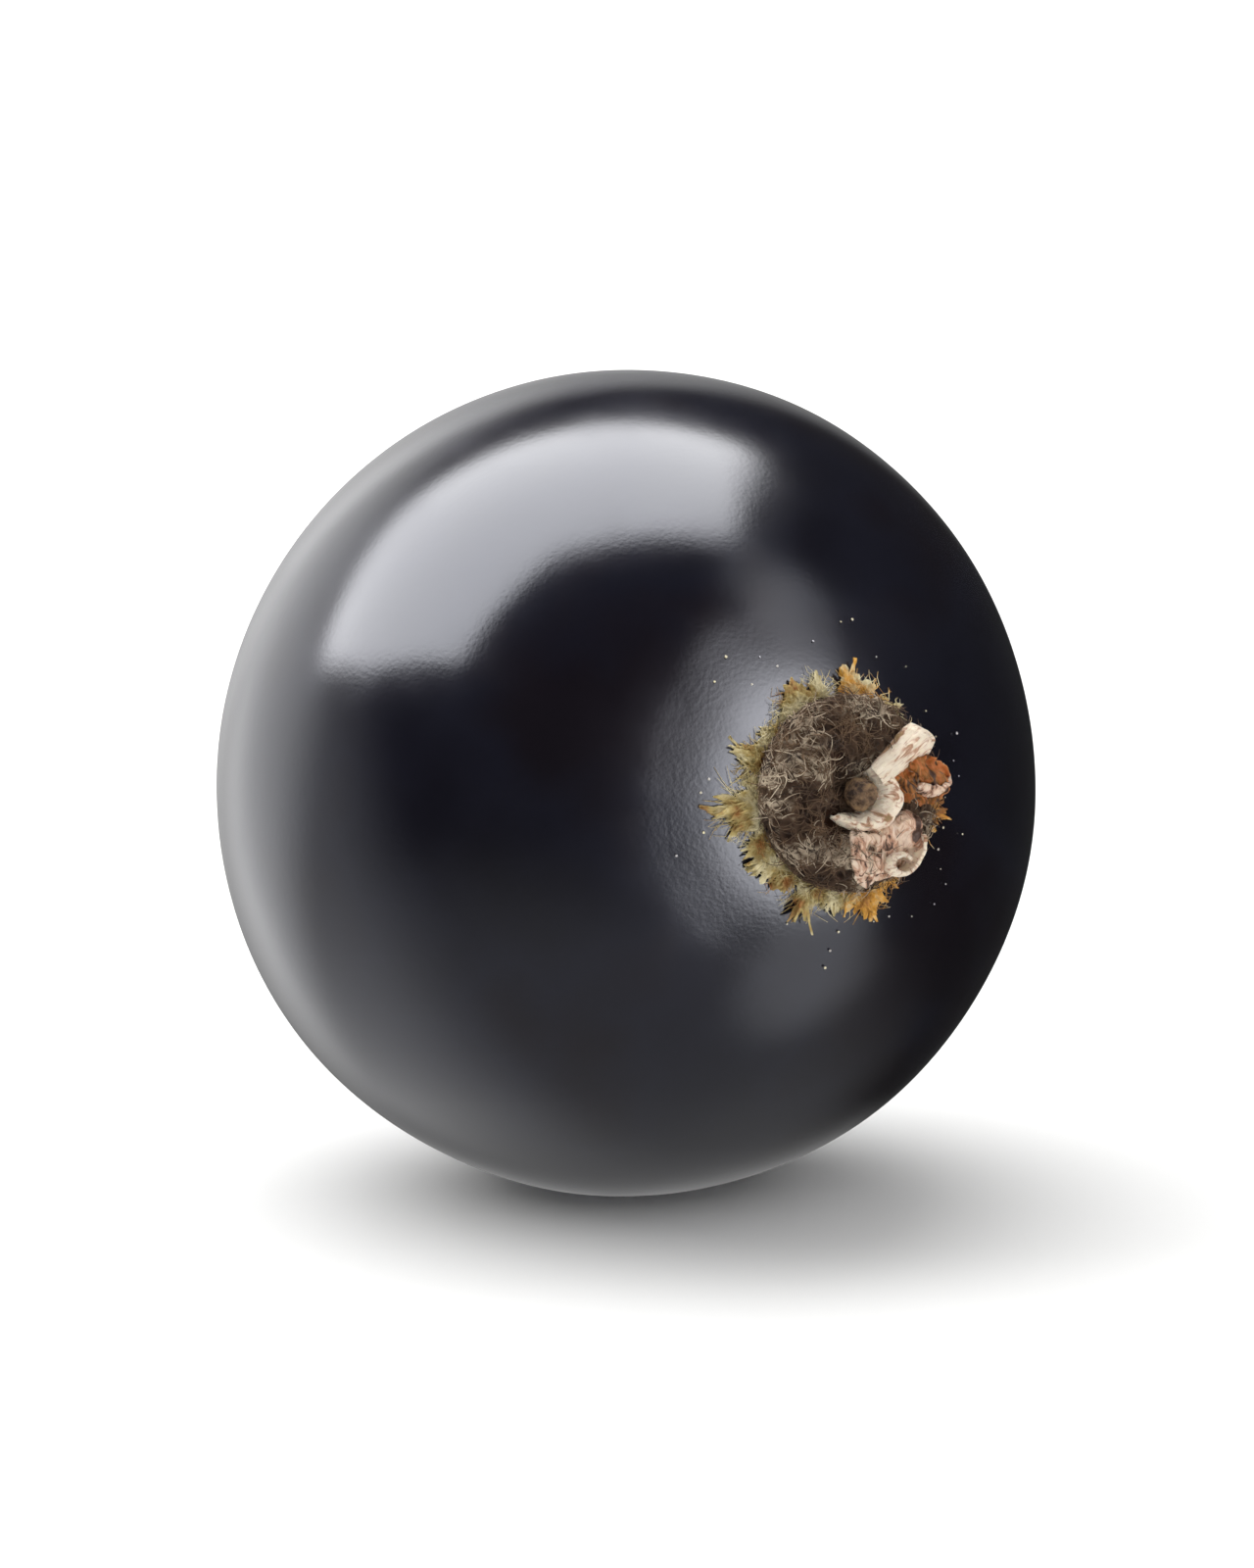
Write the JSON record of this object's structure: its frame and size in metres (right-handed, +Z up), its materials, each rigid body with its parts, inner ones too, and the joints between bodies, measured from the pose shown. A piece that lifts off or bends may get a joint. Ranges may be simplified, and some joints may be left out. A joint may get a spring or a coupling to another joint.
{
  "type": "blackcurrant berry",
  "caption": "Ripe round blackcurrant lying on its side, with glossy blue-black skin and a withered flower of felted brown wool, golden scales and cream sepals.",
  "frame": {"origin": "the middle of the small flat on the underside of the skin, which rests on the surface", "axes": "+Z up, -Y towards the withered flower, which points 10 degrees above the horizontal, and +X to the right of someone who faces the flower"},
  "size_m": [0.0123, 0.0133, 0.0122],
  "materials": {
    "skin": "gloss",
    "felt": "matte",
    "scales": "matte",
    "sepal": "matte",
    "petal": "matte",
    "style": "matte"
  },
  "bodies": {
    "root": {"berry": "skin", "flower_cup": "felt", "scaly_collar": "scales", "style_stump": "style", "sepal_crest": "sepal", "sepal_lower": "sepal", "sepal_upper": "sepal", "petal_rust": "petal"}
  },
  "joints": []
}
